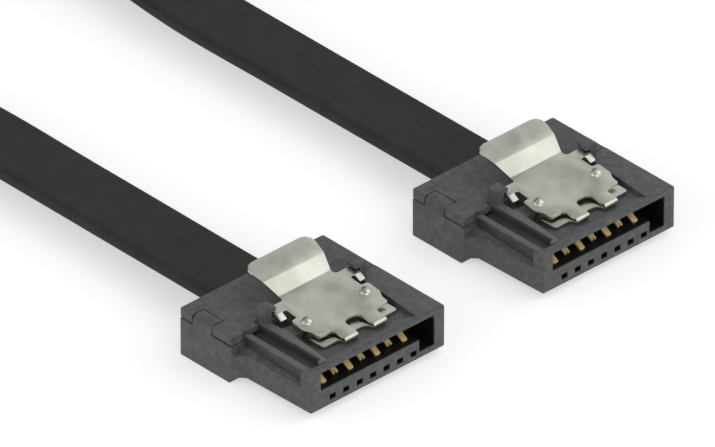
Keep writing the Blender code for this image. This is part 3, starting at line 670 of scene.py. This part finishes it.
@dataclass
class Ribbon:
    """The flat cable: its route, its ribbed section and its finish.

    A point of the route is a place in millimetres and the section's turn in degrees.
    """

    width: float = 5.6 * MM
    thickness: float = 1.0 * MM
    edge_round: float = 0.28 * MM
    length: float = 0.30
    spacing: float = 1.2 * MM
    start: tuple[float, float, float, float] = (-4.81, -11.0, 2.13, 0)
    half_route: tuple[tuple[float, float, float, float], ...] = (
        (-14.0, -11.0, 2.13, 0),
        (-25.0, -11.0, 2.13, 0),
        (-36.0, -11.05, 2.14, 0),
        (-46.0, -11.8, 2.25, 12),
        (-56.0, -13.8, 2.52, 38),
        (-66.0, -17.0, 2.86, 66),
        (-76.0, -20.8, 2.9, 84),
        (-87.0, -24.6, 2.83, 90),
        (-98.5, -27.4, 2.82, 90),
        (-110.0, -27.6, 2.82, 90),
        (-120.8, -24.4, 2.82, 90),
        (-129.6, -18.0, 2.82, 90),
        (-135.2, -9.2, 2.82, 90),
    )
    loop_back: tuple[float, float, float, float] = (-137.1, 0.0, 2.82, 90)
    rib_count: int = 14
    rib_depth: float = 0.010 * MM
    groove_inset: float = 0.36 * MM
    groove_width: float = 0.10 * MM
    groove_depth: float = 0.07 * MM
    arc_steps: int = 5
    steps_per_rib: int = 6
    steps_per_span: int = 24
    sharp: float = math.radians(50)

    def route(self) -> list[Vector]:
        """The route's points from connector to connector: place in metres, and turn in radians."""
        half = [self.start, *self.half_route]
        other = [(x, -y, z, 180 - turn) for x, y, z, turn in reversed(half)]
        points = [*half, self.loop_back, *other]
        return [Vector((x * MM, y * MM, z * MM, math.radians(turn))) for x, y, z, turn in points]

    def smooth(self, points: list[Vector]) -> list[Vector]:
        """A dense Catmull-Rom curve through the route.

        Args:
            points: The route's points.

        Returns:
            The dense points.
        """
        padded = [2 * points[0] - points[1], *points, 2 * points[-1] - points[-2]]
        dense = []
        for index in range(1, len(padded) - 2):
            p0, p1, p2, p3 = padded[index - 1 : index + 3]
            for step in range(self.steps_per_span):
                t = step / self.steps_per_span
                pull = (p2 - p0) * t
                bend = (2 * p0 - 5 * p1 + 4 * p2 - p3) * t**2
                swing = (3 * p1 - p0 - 3 * p2 + p3) * t**3
                dense.append(p1 + (pull + bend + swing) / 2)
        dense.append(points[-1])
        return dense

    def evenly_spaced(self, dense: list[Vector]) -> list[Vector]:
        """Points at one spacing along a dense curve.

        Args:
            dense: The dense points.

        Returns:
            The spaced points, with both ends.
        """
        lengths = [0.0]
        for before, after in zip(dense, dense[1:]):
            lengths.append(lengths[-1] + (after.xyz - before.xyz).length)
        count = round(lengths[-1] / self.spacing)
        spaced = []
        index = 0
        for step in range(count + 1):
            target = lengths[-1] * step / count
            while index < len(lengths) - 2 and lengths[index + 1] < target:
                index += 1
            share = (target - lengths[index]) / (lengths[index + 1] - lengths[index])
            spaced.append(dense[index].lerp(dense[index + 1], share))
        return spaced

    def face_profile(self) -> list[Span]:
        """Half of the section, over one face from edge to edge, with its ribs and its groove."""
        half_width, half_thickness = self.width / 2, self.thickness / 2
        flat_start, flat_end = self.edge_round - half_width, half_width - self.edge_round
        groove = self.groove_inset - half_width
        turns = [math.pi / 2 * step / self.arc_steps for step in range(1, self.arc_steps + 1)]
        arc = [(math.sin(turn) * self.edge_round, (1 - math.cos(turn)) * self.edge_round) for turn in turns]
        points = [(flat_start - out, half_thickness - down) for out, down in reversed(arc)]
        rib_steps = self.rib_count * self.steps_per_rib
        for step in range(rib_steps + 1):
            share = step / rib_steps
            across = flat_start + (flat_end - flat_start) * share
            dip = self.rib_depth * (1 + math.cos(2 * math.pi * self.rib_count * share)) / 2
            from_groove = abs(across - groove) / (self.groove_width / 2)
            cut = self.groove_depth * max(0.0, 1 - from_groove)
            points.append((across, half_thickness - dip - cut))
        points += [(flat_end + out, half_thickness - down) for out, down in arc]
        return points

    def sweep(self, section: list[Span], stations: list[Vector]) -> BMesh:
        """Sweep the section through the route's stations.

        Args:
            section: The closed section's points, across and up.
            stations: Each place with its turn.

        Returns:
            The merged mesh, with its faces outwards.
        """
        profile = bpy.data.curves.new("ribbon_section", "CURVE")
        profile.dimensions = "2D"
        outline = profile.splines.new("POLY")
        outline.points.add(len(section) - 1)
        outline.use_cyclic_u = True
        for point, (across, up) in zip(outline.points, section):
            point.co = (across, up, 0, 1)
        guide = bpy.data.objects.new("ribbon_section", profile)
        curve = bpy.data.curves.new("ribbon_path", "CURVE")
        curve.dimensions = "3D"
        curve.twist_mode = "Z_UP"
        curve.bevel_mode = "OBJECT"
        curve.bevel_object = guide
        curve.use_fill_caps = True
        spline = curve.splines.new("POLY")
        spline.points.add(len(stations) - 1)
        for point, (x, y, z, turn) in zip(spline.points, stations):
            point.co = (x, y, z, 1)
            point.tilt = turn
        swept = bpy.data.objects.new("ribbon_sweep", curve)
        for helper in (guide, swept):
            bpy.context.scene.collection.objects.link(helper)
        graph = bpy.context.evaluated_depsgraph_get()
        mesh = bpy.data.meshes.new_from_object(swept.evaluated_get(graph))
        for helper in (swept, guide):
            bpy.data.objects.remove(helper)
        bm = bmesh.new()
        bm.from_mesh(mesh)
        bpy.data.meshes.remove(mesh)
        bmesh.ops.remove_doubles(bm, verts=bm.verts, dist=MERGE_DISTANCE)
        bmesh.ops.recalc_face_normals(bm, faces=bm.faces)
        return bm

    def build(self) -> Object:
        """Returns:
            The ribbon's mesh object.
        """
        top = self.face_profile()
        section = top + [(across, -up) for across, up in reversed(top)]
        stations = self.evenly_spaced(self.smooth(self.route()))
        ribbon = linked_object("ribbon", self.sweep(section, stations))
        shade(ribbon.data, self.sharp)
        dress(ribbon.data, RibbonJacket().material())
        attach(ribbon, ROOT_BODY)
        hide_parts("flat_cable")
        LOG.info("ribbon: %d stations", len(stations))
        return ribbon


@dataclass
class HousingSkin:
    """A finer housing that takes the solid's place: its ledge, ridge and groove are recut.

    Its sizes are in the connector's own frame, whose origin is at the middle of its rear face. A
    pair of heights is the floor's height at the rear and at the front.
    """

    end: ConnectorEnd
    length: float = 12.32 * MM
    relief_rear: float = 5.34 * MM
    ledge_front: float = 11.32 * MM
    ledge_heights: Span = (2.71 * MM, 2.47 * MM)
    ledge_edge_y: float = -6.05 * MM
    ledge_edge_heights: Span = (2.46 * MM, 2.13 * MM)
    ridge_y: Span = (-5.5 * MM, -4.98 * MM)
    ridge_front: float = 11.74 * MM
    ridge_top: float = 3.54 * MM
    ridge_round: float = 0.2 * MM
    ridge_root: float = 0.2 * MM
    groove_front: float = 11.5 * MM
    groove_y: Span = (-5.1 * MM, -4.14 * MM)
    groove_heights: Span = (3.22 * MM, 3.42 * MM)
    shelf_y: float = -4.6 * MM
    outside: float = -8.0 * MM
    above: float = 6.0 * MM
    flat: float = math.radians(0.05)
    sharp: float = math.radians(32)

    def block(self, front: float, y: Span, floor: Span, top: float) -> BMesh:
        """A block in the connector's frame, from the relief's rear, whose floor slopes along X.

        Args:
            front: Where it ends along the connector.
            y: Its limits across.
            floor: The floor's height at its rear and at its front.
            top: The height of its top.

        Returns:
            The block's mesh.
        """
        bm = bmesh.new()
        bmesh.ops.create_cube(bm, size=1.0)
        for vert in bm.verts:
            is_front, is_right, is_top = (side > 0 for side in vert.co)
            x = front if is_front else self.relief_rear
            vert.co = (x, y[is_right], top if is_top else floor[is_front])
        return bm

    def placed(self, name: str, bm: BMesh) -> Object:
        """Move a tool from the connector's frame to the scene and link it.

        Args:
            name: The tool's name.
            bm: The mesh, which is freed.

        Returns:
            The linked object.
        """
        across = -CONNECTOR_SPACING / 2 if self.end is ConnectorEnd.NEAR else CONNECTOR_SPACING / 2
        bmesh.ops.translate(bm, verts=bm.verts, vec=(-self.length / 2, across, 0))
        bmesh.ops.triangulate(bm, faces=bm.faces)
        return linked_object(name, bm)

    def ledge(self) -> Object:
        """The cutter over the ledge, whose floor falls forwards and outwards."""
        y = (self.outside, self.ridge_y[0])
        reach = (y[1] - y[0]) / (y[1] - self.ledge_edge_y)
        falls = [inner - outer for inner, outer in zip(self.ledge_heights, self.ledge_edge_heights)]
        cutter = self.placed("ledge", self.block(self.ledge_front, y, self.ledge_heights, self.above))
        middle_x = (self.relief_rear + self.ledge_front - self.length) / 2
        outer_y = min(vert.co.y for vert in cutter.data.vertices)
        for vert in cutter.data.vertices:
            if vert.co.y < outer_y + MM and vert.co.z < self.above - MM:
                vert.co.z -= falls[vert.co.x > middle_x] * reach
        return cutter

    def shelf(self) -> Object:
        """The cutter over the ridge and what lies outside it."""
        y, floor = (self.outside, self.shelf_y), (self.ridge_top, self.ridge_top)
        return self.placed("shelf", self.block(self.ridge_front, y, floor, self.above))

    def groove(self) -> Object:
        """The cutter of the groove between the ridge and the rail."""
        bm = self.block(self.groove_front, self.groove_y, self.groove_heights, self.above)
        return self.placed("groove", bm)

    def ridge(self) -> Object:
        """The rounded ridge between the ledge and the groove."""
        root = self.groove_heights[0] - self.ridge_root
        bm = self.block(self.ridge_front, self.ridge_y, (root, root), self.ridge_top)
        tops = [e for e in bm.edges if all(v.co.z > self.ridge_top - NEAR for v in e.verts)]
        along = [e for e in tops if abs(e.verts[0].co.x - e.verts[1].co.x) > MM]
        bmesh.ops.bevel(
            bm, geom=along, offset=self.ridge_round, offset_type="OFFSET", segments=4, profile=0.5,
            affect="EDGES", clamp_overlap=True, material=-1,
        )
        return self.placed("ridge", bm)

    def combine(self, solid: Object, joining: Joining, tool: Object) -> None:
        """Join a tool to the solid, or take it away, and use the tool up.

        Args:
            solid: The object that changes.
            joining: Which of the two.
            tool: The other object.
        """
        modifier = solid.modifiers.new("combine", "BOOLEAN")
        modifier.operation = joining.value
        modifier.solver = "EXACT"
        modifier.object = tool
        graph = bpy.context.evaluated_depsgraph_get()
        result = bpy.data.meshes.new_from_object(solid.evaluated_get(graph))
        solid.modifiers.clear()
        bm = bmesh.new()
        bm.from_mesh(result)
        bmesh.ops.dissolve_limit(bm, angle_limit=self.flat, verts=bm.verts, edges=bm.edges)
        bmesh.ops.triangulate(bm, faces=bm.faces)
        bm.to_mesh(result)
        bm.free()
        solid.data = result
        bpy.data.objects.remove(tool)

    def build(self, finish: Material) -> Object:
        """Copy the solid, recut its relief, and let the copy replace it.

        Args:
            finish: The housing's material.

        Returns:
            The finer housing.
        """
        node_name = f"housing_{self.end.value}"
        housing = linked_object(f"{node_name}_skin", merged_copy(node_name))
        for cutter in (self.ledge(), self.shelf(), self.groove()):
            self.combine(housing, Joining.TAKE_AWAY, cutter)
        self.combine(housing, Joining.ADD, self.ridge())
        shade(housing.data, self.sharp)
        dress(housing.data, finish)
        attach(housing, ROOT_BODY)
        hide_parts(node_name)
        LOG.info("%s: %d faces", housing.name, len(housing.data.polygons))
        return housing


@dataclass
class ClipSkin:
    """A finer latch clip that takes the solid's place, with the burnished rims of its sheet."""

    end: ConnectorEnd
    rim: float = 0.03 * MM
    rim_angle: float = math.radians(50)
    flat: float = math.radians(0.3)
    sharp: float = math.radians(26)

    def build(self, finish: Material) -> Object:
        """Copy the clip, round its rims, and let the copy replace it.

        Args:
            finish: The clip's material.

        Returns:
            The finer clip.
        """
        node_name = f"latch_clip_{self.end.value}"
        bm = merged_copy(node_name)
        bmesh.ops.dissolve_limit(bm, angle_limit=self.flat, verts=bm.verts, edges=bm.edges)
        rims = [edge for edge in bm.edges if edge.calc_face_angle(0.0) > self.rim_angle]
        bmesh.ops.bevel(
            bm, geom=rims, offset=self.rim, offset_type="OFFSET", segments=2, profile=0.5,
            affect="EDGES", clamp_overlap=False, material=-1,
        )
        bmesh.ops.triangulate(bm, faces=bm.faces)
        clip = linked_object(f"{node_name}_skin", bm)
        shade(clip.data, self.sharp)
        dress(clip.data, finish)
        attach(clip, f"latch_{self.end.value}")
        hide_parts(node_name)
        LOG.info("%s: %d faces", clip.name, len(clip.data.polygons))
        return clip


@dataclass
class Connector:
    """One latching connector: housing, cover, clip and seven contacts."""

    end: ConnectorEnd
    contact_count: int = 7

    def dress_solid(self, node_name: str, finish: Material) -> None:
        """Give a CAD solid its finish.

        Args:
            node_name: The solid's node.
            finish: Its material.
        """
        dress(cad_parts[node_name].data, finish)
        LOG.info("%s: dressed as %s", node_name, finish.name)

    def build(self, plastic: Material, steel: Material, gold: Material) -> None:
        """Build and dress every piece of this connector.

        Args:
            plastic: The finish of the housing and the cover.
            steel: The finish of the clip.
            gold: The finish of the contacts.
        """
        HousingSkin(self.end).build(plastic)
        self.dress_solid(f"rear_cover_{self.end.value}", plastic)
        ClipSkin(self.end).build(steel)
        for number in range(1, self.contact_count + 1):
            self.dress_solid(f"contact_{self.end.value}_{number}", gold)


def main() -> None:
    """Build the cable and its studio."""
    logging.basicConfig(level=logging.INFO, format="%(name)s: %(message)s")
    studio = Studio()
    studio.set_camera()
    Ribbon().build()
    plastic = MouldedPlastic().material()
    steel = SpringSteel().material()
    gold = GoldPlate().material()
    for end in ConnectorEnd:
        Connector(end).build(plastic, steel, gold)
    studio.build()


if __name__ == "__main__":
    main()
